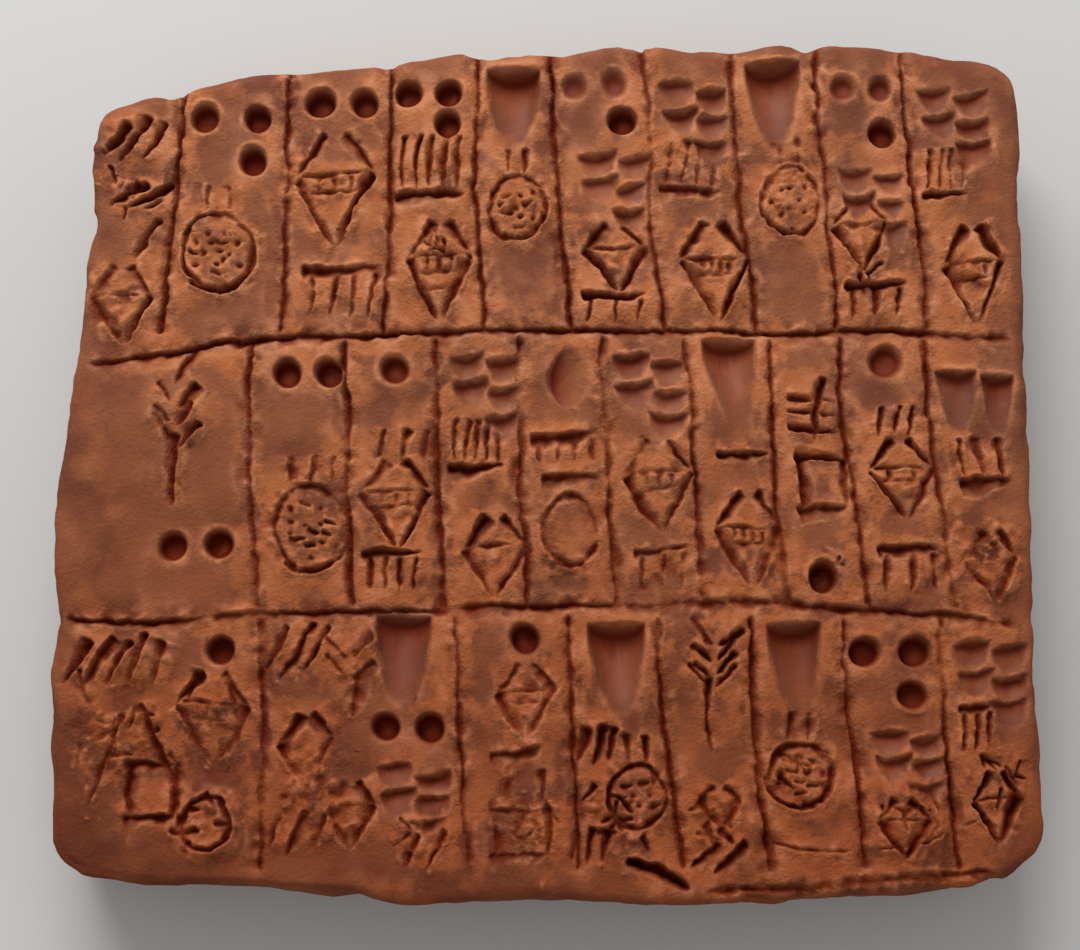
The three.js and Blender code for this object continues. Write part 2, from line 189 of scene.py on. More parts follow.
class ClayFace:
    """The written face as a grid of heights in millimetres, pressed stroke by stroke."""

    # Depth of a stroke and the reach of its gentle side
    FINE = (0.45, 0.35)
    LIGHT = (0.72, 0.5)
    FIRM = (1.2, 1.1)
    # Depth and reach of the marks of the round stick
    PIT_DEPTH = 2.1
    PIT_RADIUS = 1.7
    SCOOP_SIZE = (6.2, 2.5, 8.8)
    NICK_WIDTH = 4.2
    NICK_LENGTH = 2.7
    # Rulings: a soft valley with a sharp groove in it
    VALLEY_DEPTH = 0.35
    VALLEY_REACH = 1.8
    ROW_DEPTH = 1.15
    CASE_DEPTH = 1.05
    RULE_LIP = 0.34
    # Number of points along a ruling between two cases
    RULE_POINTS = 12

    def __init__(self, width, height, cell, seed):
        self.cell = cell
        self.random = np.random.default_rng(seed)
        across = np.arange(-width / 2 - 2, width / 2 + 2, cell)
        up = np.arange(-height / 2 - 2, height / 2 + 2, cell)
        self.origin = (across[0], up[0])
        self.shape = (len(up), len(across))
        # The round stick leaves clean edges and the sharp stylus jagged ones
        self.clean = [axis + 0.16 * self.cloud(3) for axis in np.meshgrid(across, up)]
        self.jagged = [axis + 0.075 * self.cloud(0.8) + 0.05 * self.cloud(0.25) for axis in self.clean]
        self.ragged = np.clip(0.45 + 0.3 * self.cloud(0.3) + 0.6 * self.cloud(1.4), 0, 2.2)
        self.waver = np.clip(1 + 0.2 * self.cloud(0.9), 0.4, 1.7)
        self.pressure = np.clip(0.9 + 0.35 * self.cloud(3.5), 0.3, 1.5)
        self.cut, self.lip, self.loose, self.torn, self.polish = np.zeros((5, *self.shape))

    def soften(self, field, size):
        """A Gaussian blur of the given size in millimetres."""
        rows = np.fft.fftfreq(self.shape[0], self.cell)[:, None]
        columns = np.fft.rfftfreq(self.shape[1], self.cell)[None, :]
        damping = np.exp(-2 * (math.pi * size) ** 2 * (rows**2 + columns**2))
        return np.fft.irfft2(np.fft.rfft2(field) * damping, s=self.shape)

    def cloud(self, size):
        """Smooth unevenness of the given size in millimetres, with mean 0 and deviation 1."""
        field = self.soften(self.random.standard_normal(self.shape), size)
        return (field - field.mean()) / field.std()

    def near(self, x0, y0, x1, y1, margin):
        """The part of the grid round a box."""
        first = [int(max(0, (low - margin - start) / self.cell))
                 for low, start in zip((min(x0, x1), min(y0, y1)), self.origin)]
        last = [int(max(0, (high + margin - start) / self.cell)) + 1
                for high, start in zip((max(x0, x1), max(y0, y1)), self.origin)]
        return slice(first[1], last[1]), slice(first[0], last[0])

    def press(self, place, height, lip):
        self.cut[place] = np.minimum(self.cut[place], height)
        self.lip[place] = np.maximum(self.lip[place], lip * self.ragged[place])

    def mark(self, field, place, amount):
        field[place] = np.maximum(field[place], amount)

    def draw(self, points, depth, left, right, ends, taper, lip):
        """The sharp stylus drawn along points, cutting so far to the left and right of the way it goes.

        The ends are the lengths over which it goes in and out, and the taper is what it loses on its way."""
        points = np.asarray(points, dtype=float)
        place = self.near(*points.min(axis=0), *points.max(axis=0), left + right + 2.2)
        x, y = (axis[place] for axis in self.jagged)
        steps = np.diff(points, axis=0)
        lengths = np.hypot(*steps.T)
        starts = np.concatenate(([0], np.cumsum(lengths)))
        off = np.full(x.shape, np.inf)
        side = np.zeros(x.shape)
        along = np.zeros(x.shape)
        for (px, py), (sx, sy), length, start in zip(points, steps / lengths[:, None], lengths, starts):
            run = (x - px) * sx + (y - py) * sy
            beside = (y - py) * sx - (x - px) * sy
            distance = np.hypot(run - np.clip(run, 0, length), beside)
            closer = distance < off
            off = np.where(closer, distance, off)
            side = np.where(closer, np.sign(beside), side)
            along = np.where(closer, start + run, along)
        total = starts[-1]
        fade = np.clip(np.minimum((along + 0.3) / ends[0], (total - along + 0.3) / ends[1]), 0, 1)
        fade = fade * (2 - fade)
        thinning = 1 - taper * np.clip(along / total, 0, 1)
        half = np.where(side > 0, left, right) * (0.4 + 0.6 * fade) * thinning * self.waver[place]
        steep = (side > 0) == (left < right)
        share = np.clip(1 - off / half, 0, 1)
        pushed = depth * fade * (0.5 + 0.5 * thinning) * self.pressure[place]
        ridge = np.exp(-((off - half - 0.15) / 0.24) ** 2) + 0.45 * np.exp(-((off - half - 0.7) / 0.7) ** 2)
        ridge *= lip * fade * np.where(steep, 1, 0.35)
        self.press(place, -pushed * np.where(steep, share**0.7, share**1.4), ridge)
        self.mark(self.torn, place, fade * np.exp(-(off / 1.1) ** 2))

    def stroke(self, x0, y0, x1, y1, weight=FIRM, steep=0):
        """One pressed wedge, blunt where it starts. Its left (1), its right (-1) or either (0) is steep."""
        depth, slope = weight
        length = math.hypot(x1 - x0, y1 - y0)
        bow = 0.03 * length * self.random.uniform(-1, 1)
        middle = ((x0 + x1) / 2 - bow * (y1 - y0) / length, (y0 + y1) / 2 + bow * (x1 - x0) / length)
        reaches = (self.random.uniform(0.28, 0.45), slope * self.random.uniform(0.7, 1.35))
        if (steep or self.random.choice((-1, 1))) < 0:
            reaches = reaches[::-1]
        self.draw(((x0, y0), middle, (x1, y1)), depth * self.random.uniform(0.8, 1.2), *reaches,
                  (0.25, 0.3 * length + 0.2), 0.45, 0.36 * depth)
        for _ in range(self.random.poisson(0.5 + 0.2 * length)):
            share = self.random.uniform(0, 1.15)
            self.crumb(x0 + share * (x1 - x0) + self.random.normal(0, 0.5),
                       y0 + share * (y1 - y0) + self.random.normal(0, 0.5))

    def crumb(self, x, y, smallest=0.14, largest=0.4, height=0.55):
        """A grain or a lump of clay that the stylus threw up, or a prick where the height is negative."""
        size = self.random.uniform(smallest, largest)
        squash = self.random.uniform(0.6, 1.6)
        place = self.near(x, y, x, y, 3 * size)
        off = np.hypot(self.jagged[0][place] - x, (self.jagged[1][place] - y) * squash) / size
        self.loose[place] += height * size**0.6 * np.clip(1 - off**2, 0, 1)

    def swell(self, x, y, reach_x, reach_y, height):
        """A low rise of the clay."""
        place = self.near(x - reach_x, y - reach_y, x + reach_x, y + reach_y, 1)
        off = ((self.clean[0][place] - x) / reach_x) ** 2 + ((self.clean[1][place] - y) / reach_y) ** 2
        self.loose[place] += height * np.clip(1 - off, 0, 1)

    def pit(self, x, y, depth=PIT_DEPTH, radius=PIT_RADIUS):
        """The round stick pressed straight in, a little deeper at the top left."""
        place = self.near(x, y, x, y, 2.5 * radius)
        dx, dy = ((axis[place] - middle) / radius for axis, middle in zip(self.clean, (x, y)))
        off = np.hypot(dx, dy)
        wall = np.clip((1.05 - off) / np.clip(1 - 0.3 * depth, 0.36, 0.8), 0, 1)
        wall = wall * wall * (3 - 2 * wall)
        floor = 1 + 0.18 * dy - 0.12 * dx
        self.press(place, -depth * wall * floor, 0.09 * radius * np.exp(-((off - 1.18) / 0.13) ** 2))
        self.mark(self.polish, place, 0.7 * wall)

    def scoop(self, x, y, width, depth, length, turn=0.0, lip=0.22, slope=2.0, bulge=0.0):
        """The round stick laid over: a steep head at x, y and a trough that rises away from it."""
        place = self.near(x, y, x, y, length + width)
        axes = self.clean if width > 5 else self.jagged
        dx, dy = axes[0][place] - x, axes[1][place] - y
        across = dx * math.cos(turn) + dy * math.sin(turn)
        down = dx * math.sin(turn) - dy * math.cos(turn)
        reach = np.abs(across) / (width / 2)
        down = down + bulge * np.clip(1 - reach**2, -1, 1)
        radius = ((width / 2) ** 2 + depth**2) / (2 * depth)
        left = np.clip(1 - down / length, 0, 1)
        round_side = np.sqrt(np.clip(radius**2 - across**2, 0, None))
        trough = np.minimum(0, radius - depth * left - round_side)
        wall = depth / slope
        trough = np.maximum(trough, -slope * np.clip(down + wall, 0, None))
        ridge = lip * np.exp(-((down + wall + 0.22) / 0.26) ** 2) * np.clip(1.2 - reach, 0, 1)
        flank = 0.6 * lip * np.exp(-((reach - 1.04) / 0.1) ** 2) * left * (down > 0)
        self.press(place, trough, ridge + flank)
        self.mark(self.polish, place, np.clip(-2 * trough / depth, 0, 1) * min(1, depth / 2))

    def pits(self, *places, depth=PIT_DEPTH):
        for x, y in places:
            self.pit(x, y, depth * self.random.uniform(0.85, 1.05))

    def big_scoop(self, x, y, turn=0.0):
        self.scoop(x, y, *self.SCOOP_SIZE, turn, lip=0.3, slope=1.6, bulge=0.2)

    def nicks(self, x, y, pitch=3.0, lean=0.12):
        """Five nicks in two staggered columns."""
        for across, down in ((-2.1, 0), (2, -0.2), (-1.6, -1), (2, -1.25), (1.9, -2.15)):
            turn = lean + self.random.uniform(-0.1, 0.1)
            depth = self.random.uniform(0.85, 1.25)
            bulge = self.random.uniform(-0.3, 0.3)
            self.scoop(x + across, y + down * pitch, self.NICK_WIDTH, depth, self.NICK_LENGTH, turn,
                       lip=0.36, slope=1.5, bulge=bulge)

    def comb(self, x, y, width, height, teeth, bar=0, slant=0.05):
        """Upright strokes side by side, and a bar above them (1), below them (-1) or none (0)."""
        for tooth in range(teeth):
            foot = x + width * (tooth / (teeth - 1) - 0.5)
            tilt = slant * height * (1 + tooth % 2)
            self.stroke(foot + tilt, y + height / 2, foot, y - height / 2, self.LIGHT)
        if bar:
            bar_y = y + bar * (height / 2 + 0.5)
            self.stroke(x - 0.62 * width, bar_y, x + 0.66 * width, bar_y + 0.06 * width, self.FIRM, 1)

    def lozenge(self, x, y, width, height, bars=2):
        """Four strokes round a pointed field, crossed by bars with short ticks between them."""
        left, right = x - width / 2, x + width / 2
        top, shoulder, tip = y + height / 2, y + 0.14 * height, y - height / 2
        self.stroke(x - 0.16 * width, top, left, shoulder, self.FIRM, -1)
        self.stroke(x + 0.16 * width, top, right, shoulder + 0.04 * height, self.FIRM, 1)
        self.stroke(left, shoulder - 0.05 * height, x, tip, self.FIRM, -1)
        self.stroke(right, shoulder, x + 0.06 * width, tip, self.FIRM, 1)
        for bar in range(bars):
            drop = 0.17 * height * bar
            reach = 0.42 * width * (1 - 0.3 * bar)
            self.stroke(x - reach, shoulder - drop, x + reach, shoulder - drop + 0.2, self.FINE, 1)
        if bars > 1 and height > 8:
            for tick in np.linspace(-0.2, 0.2, int(self.random.integers(2, 5))) * width:
                self.stroke(x + tick, shoulder - 0.03 * height, x + tick, shoulder - 0.14 * height, self.FINE)
        for _ in range(3):
            across, up = self.random.normal(0, 0.15, 2)
            self.crumb(x + across * width, y + up * height, 0.5, 0.9)

    def oval(self, x, y, radius_x, radius_y, ticks=2):
        """A ring drawn in four goes, a little egg-shaped, with a pricked field inside and strokes over it."""
        start = self.random.uniform(0, 1.5)
        for quarter in range(4):
            turns = start + quarter * math.pi / 2 + np.linspace(-0.15, 1.7, 9)
            size = self.random.normal(1, 0.045)
            arc = [(x + size * radius_x * math.cos(turn) * (1 - 0.08 * math.sin(turn)),
                    y + size * radius_y * math.sin(turn)) for turn in turns]
            self.draw(arc, self.random.uniform(0.5, 0.9), 0.6, 0.3, (0.3, 0.9), 0.3, 0.4)
        self.swell(x, y, 0.9 * radius_x, 0.9 * radius_y, 0.3)
        for _ in range(int(3 * (radius_x + radius_y))):
            turn = self.random.uniform(0, 2 * math.pi)
            reach = self.random.normal(1, 0.12)
            self.crumb(x + reach * radius_x * math.cos(turn), y + reach * radius_y * math.sin(turn))
        if ticks:
            self.comb(x, y + radius_y + 1.7, 0.6 * radius_x * (ticks - 1), 2.8, ticks, 0, 0.0)
            self.stipple(x, y, 0.62 * radius_x, 0.66 * radius_y)

    def stipple(self, x, y, reach_x, reach_y, pitch=1.2):
        """Pricks and short dashes inside a ring, with the clay torn up beside them."""
        for row, down in enumerate(np.arange(-reach_y, reach_y + 0.01, pitch)):
            half = reach_x * math.sqrt(max(0, 1 - (down / reach_y) ** 2))
            for across in np.arange(-half, half + 0.01, pitch * 1.15):
                jitter = self.random.normal(0, 0.28, 2)
                spot = (x + across + 0.5 * (row % 2) + jitter[0], y + down + jitter[1])
                if self.random.random() < 0.5:
                    self.crumb(*spot, 0.3, 0.5, -0.9)
                else:
                    rise = self.random.uniform(-0.4, 0.4)
                    self.stroke(spot[0] - 0.5, spot[1] + rise, spot[0] + 0.5, spot[1], self.FINE, 1)
                self.crumb(spot[0] + 0.5, spot[1] - 0.4, 0.3, 0.6)

    def branch(self, x, y, height, pairs, lean=0.0):
        """A stem with strokes slanting off to its sides."""
        self.stroke(x + lean, y + 0.1 * height, x, y - height / 2)
        for pair in range(pairs):
            root = y + height * (0.5 * (pair + 0.6) / pairs - 0.05)
            for way, weight in ((1, self.FIRM), (-1, self.LIGHT)):
                far, rise, shift = self.random.uniform((1.7, 1.1, -0.5), (2.9, 2.6, 0.5))
                self.stroke(x + way * far, root + rise + shift, x + 0.4 * way, root - 0.3 + shift, weight)

    def hatch(self, x, y, count, pitch, length, slant=0.6):
        """Slanting strokes side by side."""
        for line in range(count):
            middle = x + pitch * (line - (count - 1) / 2)
            rise = (0.5 + 0.12 * (line % 2)) * length
            self.stroke(middle + slant * rise, y + rise, middle - slant * rise, y - rise)

    def square(self, x, y, width, height):
        """Four strokes that enclose a square field."""
        left, right = x - width / 2, x + width / 2
        low, high = y - height / 2, y + height / 2
        self.stroke(left - 0.4, high, right + 0.3, high + 0.2)
        self.stroke(left, high, left + 0.2, low)
        self.stroke(right, high + 0.2, right - 0.1, low + 0.3)
        self.stroke(left - 0.3, low, right, low + 0.3)

    def rough(self, x, y, reach):
        """A patch of torn clay with a few short scratches."""
        place = self.near(x, y, x, y, 2 * reach)
        off = np.hypot(self.clean[0][place] - x, self.clean[1][place] - y) / reach
        self.mark(self.torn, place, np.exp(-1.5 * off**2))
        for _ in range(int(2.5 * reach)):
            across, up = self.random.normal(0, 0.45 * reach, 2)
            turn = self.random.uniform(0, math.pi)
            half = self.random.uniform(0.5, 1.2)
            self.stroke(x + across + half * math.cos(turn), y + up + half * math.sin(turn),
                        x + across - half * math.cos(turn), y + up - half * math.sin(turn), self.LIGHT)
        for _ in range(int(9 * reach)):
            self.crumb(x + self.random.normal(0, 0.6) * reach, y + self.random.normal(0, 0.6) * reach)
        for _ in range(int(1.5 * reach)):
            self.crumb(x + self.random.normal(0, 0.5) * reach,
                       y + self.random.normal(0, 0.5) * reach, 0.4, 1.0)

    def rule(self):
        """Rulings between rows and cases."""
        for points in ROW_RULES:
            self.draw(points, self.VALLEY_DEPTH, 2.4, 1.6, (2.0, 2.0), 0.0, 0.0)
            self.draw(points, self.ROW_DEPTH, 0.34, 1.0, (2.0, 2.0), 0.0, self.RULE_LIP)
        for top, bottom, rules in CASE_RULES:
            for x_top, x_bottom in rules:
                share = np.linspace(0, 1, self.RULE_POINTS)
                wander = 0.06 * np.cumsum(self.random.normal(0, 1, self.RULE_POINTS))
                points = np.column_stack((x_top + (x_bottom - x_top) * share**1.5 + wander,
                                          top + (bottom - top) * share))
                reaches = self.random.permutation((0.3, self.random.uniform(0.6, 1.1)))
                ends = (1.2, 0.8)
                self.draw(points, self.VALLEY_DEPTH, self.VALLEY_REACH, self.VALLEY_REACH, ends, 0.0, 0.0)
                self.draw(points, self.CASE_DEPTH, *reaches, ends, 0.0, self.RULE_LIP)

    def write_top_row(self):
        self.hatch(-45.4, 36.6, 3, 2.1, 4)
        self.hatch(-44.8, 30, 2, 2.4, 2.6, 1.4)
        self.stroke(-42.4, 27, -45.2, 22.6)
        self.lozenge(-46.2, 17.6, 6.4, 8.4, 1)

        self.pits((-38, 38.9), (-31.9, 39), (-32.5, 34.2))
        self.oval(-36, 23.7, 4.2, 4.5)

        self.pits((-25, 40.6), (-20.2, 40.5))
        self.lozenge(-23.4, 30.6, 8.6, 13)
        self.comb(-22.4, 18.4, 6.6, 4.8, 4, 1)

        self.pits((-15.3, 41.7), (-10.7, 41.7), (-10.7, 38))
        self.comb(-12.7, 33.4, 6.4, 6, 5, -1)
        self.lozenge(-11.6, 21, 6.8, 11, 3)

        self.big_scoop(-3.4, 43.4)
        self.oval(-2.8, 28.4, 2.9, 3.6)

        self.pits((3.1, 42.6), (7.6, 42.7), depth=0.9)
        self.pit(8.1, 38.4)
        self.nicks(7.6, 34.1)
        self.lozenge(7.6, 22.8, 7, 7, 1)
        self.comb(7.2, 16.9, 5.4, 2.6, 3, 1)

        self.nicks(16.4, 42.4)
        self.comb(16, 33.4, 5, 5.2, 4, -1)
        self.lozenge(18.6, 21.4, 7, 11.4)

        self.big_scoop(25.4, 44, 0.05)
        self.oval(26.9, 29.4, 3.1, 3.8)

        self.pits((33, 42.2), (37.3, 42.2), depth=1.1)
        self.pit(37.4, 37.2)
        self.nicks(36.2, 32.6)
        self.lozenge(34.6, 25.4, 5.6, 8, 1)
        self.comb(36, 17.4, 5, 3.6, 3, 1)

        self.nicks(45.5, 42)
        self.comb(44, 32.8, 3.6, 5, 4, -1)
        self.lozenge(46.8, 20.8, 6.2, 11, 2)

    def write_middle_row(self):
        self.branch(-40.3, 1.6, 13, 3, 0.4)
        self.stroke(-38.4, 12.6, -40.4, 8.6)
        self.pits((-39.9, -9.2), (-34.9, -9))

        self.pits((-27.9, 9.7), (-23.2, 9.8))
        self.oval(-24.9, -7.1, 3.9, 4.5, 3)

        self.pit(-16.2, 10.2, 1.6)
        self.comb(-15.4, 2, 4.6, 3, 3, 0, 0.12)
        self.lozenge(-16, -4.6, 7, 9.6)
        self.comb(-16.4, -12.3, 4.8, 3.6, 4, 1)

        self.nicks(-6.3, 11.4)
        self.comb(-7.4, 2.4, 4.8, 4.6, 5, -1)
        self.lozenge(-5.3, -10.6, 6.4, 9, 1)

        self.scoop(2.9, 9.2, 6.8, 1.2, 4.6, math.pi / 2, 0.3, 1.6, 1.9)
        self.comb(2.1, 1.2, 5.6, 2.2, 4, 1)
        self.stroke(-0.2, -1.7, 6, -1.5)
        self.oval(2.6, -7.5, 2.8, 4.1, 0)

        self.nicks(11.4, 11)
        self.lozenge(12.1, -2.8, 6.8, 9.6)
        self.comb(12.4, -12, 4.4, 3.6, 3, 1)

        self.big_scoop(20.2, 12.4, 0.06)
        self.stroke(18.6, 0.6, 24.2, 0.9)
        self.lozenge(21.8, -8.6, 6.8, 10.4)

        self.stroke(30.6, 9.4, 29.6, 2.6)
        for y in (6.8, 5.4, 3.6):
            self.stroke(26.6, y, 32.8, y + 0.2, self.LIGHT)
        self.square(30.2, -2.6, 5, 5.6)
        self.pit(29.6, -12.4, 2.4)

        self.pit(37.2, 10.8, 1.5, 2)
        self.comb(38, 4.4, 3.2, 2.8, 3, 0, 0.1)
        self.lozenge(38.5, -2, 6.6, 8.8)
        self.comb(38.8, -11.8, 5, 3.8, 3, 1)

        self.scoop(44.6, 9.2, 4.4, 1.5, 6.5)
        self.scoop(49, 8.8, 3.8, 1.4, 6)
        self.comb(47, 0.4, 3.8, 4.2, 3, -1, -0.08)
        self.lozenge(47.6, -11.6, 5.4, 7.4, 1)

    def write_bottom_row(self):
        self.hatch(-47.4, -21.6, 3, 2.2, 4.4)
        self.stroke(-42.4, -18.6, -44.4, -24.4)
        self.stroke(-44.2, -27.4, -47.4, -36.6)
        self.stroke(-42.6, -26.4, -38.2, -35.4)
        self.stroke(-49.4, -22.4, -47.6, -27.2, self.LIGHT)
        self.stroke(-49.2, -27.6, -49, -33, self.LIGHT)
        self.stroke(-40.4, -19.6, -41.8, -24.6)
        self.stroke(-37, -23, -37.8, -26, self.LIGHT)
        self.stroke(-33.4, -23.4, -32.6, -29, self.LIGHT)
        self.square(-41.2, -35, 4.6, 5.4)
        self.pit(-34.7, -20.5)
        self.lozenge(-35.2, -27.6, 7.4, 9, 2)
        self.oval(-35.4, -38.4, 2.6, 2.7, 0)

        self.hatch(-26.4, -20.4, 3, 2.1, 4.6)
        self.branch(-20.6, -23.6, 9, 2, 1)
        self.lozenge(-25.4, -31, 5.4, 7.6, 0)
        self.hatch(-26, -39.6, 3, 2.4, 3.4, 0.35)
        self.big_scoop(-14.9, -18)
        self.pits((-16.8, -28.5), (-12, -28.5))
        self.nicks(-13.8, -33.2, 2.7, 0.2)
        self.lozenge(-20.4, -38, 4.4, 6.8, 1)
        self.hatch(-12.6, -41.4, 2, 2.8, 2.8)

        self.pit(-2.2, -19.3)
        self.lozenge(-2, -25.8, 6, 7.6, 2)
        self.stroke(-5.4, -31.2, -0.4, -30.8)
        self.comb(-2.2, -34.4, 3.6, 3, 2)
        self.square(-2.4, -39.6, 5.4, 5)
        self.oval(-2, -39.4, 1.2, 1.2, 0)

        self.big_scoop(7.7, -19, 0.05)
        self.hatch(5.6, -30.4, 3, 1.5, 3.2, 0.3)
        self.oval(9.6, -36, 3.1, 3.3)
        self.hatch(4.6, -41, 3, 1.6, 3, 0.2)
        self.draw(((8.6, -42.4), (11.5, -43.2), (15, -45.2)), 2.2, 0.5, 0.9, (1, 1), 0, 0.4)

        self.branch(17.8, -24.6, 12, 4, -0.4)
        self.lozenge(18.4, -37, 4.4, 4.4, 1)
        self.hatch(18, -42, 2, 2.6, 2.4, 1.1)

        self.big_scoop(26.4, -18.9, 0.08)
        self.oval(27, -33.4, 3.4, 3.4)

        self.pits((34.1, -20.4), (39.2, -20.4), (38.8, -25))
        self.nicks(38.3, -29.6, 2.4)
        self.lozenge(37.6, -39.2, 5.4, 6, 1)

        self.nicks(47.1, -20.2, 2.8)
        self.comb(45.4, -29, 2.8, 4, 3, 1)
        self.lozenge(47.4, -37, 5, 6.8, 1)
        self.draw(((17, -45.4), (26, -45), (37, -44.4), (47, -43.6)), 0.7, 0.6, 0.35, (3, 3), 0, 0.3)
        self.draw(((23, -40.4), (27, -41.2), (33, -41.4)), 0.3, 0.15, 0.15, (1, 1), 0, 0.25)
        self.draw(((35, -41.6), (40, -40.6), (45, -38)), 0.3, 0.15, 0.15, (1, 1), 0, 0.25)

    def finish(self):
        """Puts cuts, thrown-up edges and unevenness together, and finds the hollows and creases for painted
        shade and the rubbed edges for a painted highlight.
        """
        for x, y, reach in ROUGH_PATCHES:
            self.rough(x, y, reach)
        sunk = np.clip(-self.cut / 0.2, 0, 1)
        height = self.cut + self.lip * (1 - sunk) + np.minimum(self.loose, 0.6) * (1 - 0.4 * sunk)
        height = self.soften(height, 0.05)
        plain = 1 - 0.85 * self.soften(self.polish, 0.15)
        height += plain * self.torn * (0.1 * self.cloud(0.3) - 0.2 * np.abs(self.cloud(0.7)) + 0.12)
        height += plain * 0.12 * self.cloud(1.3)
        height += 0.28 * self.cloud(3.6) + 0.25 * self.cloud(11)
        broad = self.soften(height, 1.6)
        fine = self.soften(height, 0.45)
        self.height = height
        raised = (self.soften(height, 0.25) - self.soften(height, 2.4)) / 0.3
        self.fresh = np.clip(1.5 * self.soften(self.torn, 1.4) + 0.5 * raised - 0.2, 0, 1)
        pressed = 0.26 * self.cloud(5) + 0.16 * self.cloud(2) + 0.07 * self.cloud(0.8)
        self.dents = pressed - 0.3 * np.clip(np.abs(self.cloud(3)) - 1.2, 0, 1)
        # Masks for painted shade in the broad hollows and in the creases, and for the rubbed edges that also
        # get a painted highlight
        self.deep_shade = 1 - np.exp(-np.clip((broad - height) / 0.6 - 0.1, 0, None))
        self.crease_shade = 1 - np.exp(-1.2 * np.clip((fine - height) / 0.24 - 0.15, 0, None))
        self.rubbed = np.clip(0.4 * (height - broad) / 0.3 + 0.6 * (height - fine) / 0.12, 0, 1)

    def at(self, field, x, y):
        """A field's values at points in millimetres."""
        column = np.clip((x - self.origin[0]) / self.cell, 0, self.shape[1] - 1.001)
        row = np.clip((y - self.origin[1]) / self.cell, 0, self.shape[0] - 1.001)
        left, low = column.astype(int), row.astype(int)
        right_share, high_share = column - left, row - low
        lower = field[low, left] * (1 - right_share) + field[low, left + 1] * right_share
        upper = field[low + 1, left] * (1 - right_share) + field[low + 1, left + 1] * right_share
        return lower * (1 - high_share) + upper * high_share


def outline_of(node):
    """The outline at the waist of the CAD solid, smoothed, closed and counter-clockwise, in metres."""
    corners = {(round(v.co.x, 6), round(v.co.y, 6)) for v in node.data.vertices
               if 0.3 * THICKNESS < v.co.z < 0.7 * THICKNESS}
    if len(corners) < 12:
        raise RuntimeError("the tablet's solid shows no outline at its waist")
    points = np.array(sorted(corners, key=lambda point: math.atan2(point[1], point[0])))
    before, after, beyond = (np.roll(points, shift, axis=0)[:, None] for shift in (1, -1, -2))
    here = points[:, None]
    t = np.linspace(0, 1, 12, endpoint=False)[None, :, None]
    curve = 0.5 * (2 * here + (after - before) * t + (2 * before - 5 * here + 4 * after - beyond) * t**2
                   + (3 * here - before - 3 * after + beyond) * t**3)
    return curve.reshape(-1, 2)


def fill_outline(square, outline):
    """Points of the square from -1 to 1 moved into the outline, ring by ring, corner to corner."""
    corners = [int(np.argmax(outline[:, 0] * sx / WIDTH + outline[:, 1] * sy / HEIGHT))
               for sx, sy in ((1, -1), (1, 1), (-1, 1), (-1, -1))]
    reach = np.abs(square).max(axis=1)
    u, v = (square / np.maximum(reach, 1e-9)[:, None]).T
    wide = np.abs(square[:, 0]) >= np.abs(square[:, 1])
    sides = (
        (wide & (u > 0), (1 + v) / 2),
        (~wide & (v > 0), (1 - u) / 2),
        (wide & (u <= 0), (1 - v) / 2),
        (~wide & (v <= 0), (1 + u) / 2),
    )
    placed = np.zeros_like(square)
    for side, (members, share) in enumerate(sides):
        count = (corners[(side + 1) % 4] - corners[side]) % len(outline)
        run = outline[(corners[side] + np.arange(count + 1)) % len(outline)]
        length = np.concatenate(([0], np.cumsum(np.hypot(*np.diff(run, axis=0).T))))
        for axis in range(2):
            placed[members, axis] = np.interp(share[members] * length[-1], length, run[:, axis])
    return placed * reach[:, None]


def inset_scale(inset):
    return 1 - 2 * inset / WIDTH, 1 - 2 * inset / HEIGHT


def edge_levels(settings):
    """(inset, height) of each ring from the written face over the rim and down to the underside."""
    rim, foot, waist = settings.rim_radius, settings.foot_inset, settings.waist
    turns = [math.radians(angle) for angle in (14, 28, 42, 56, 70, 82, 90)]
    rolled = [(rim * (1 - math.sin(turn)), THICKNESS - rim * (1 - math.cos(turn))) for turn in turns]
    sides = [(0.0, height) for height in np.linspace(THICKNESS - rim, waist, 12)[1:]]
    curl = [(foot * (1 - math.cos(turn)), waist * (1 - math.sin(turn)))
            for turn in np.linspace(0, math.pi / 2, 14)[1:]]
    underside = [(foot * share, 0.0) for share in (1.3, 2, 3.5, 6)]
    return rolled + sides + curl + underside


def read_vectors(mesh, name):
    """The places ("co") or the normals of a mesh's points."""
    values = np.empty(len(mesh.vertices) * 3)
    mesh.vertices.foreach_get(name, values)
    return values.reshape(-1, 3)


def write_points(mesh, points):
    mesh.vertices.foreach_set("co", points.astype(np.float32).ravel())
    mesh.update()


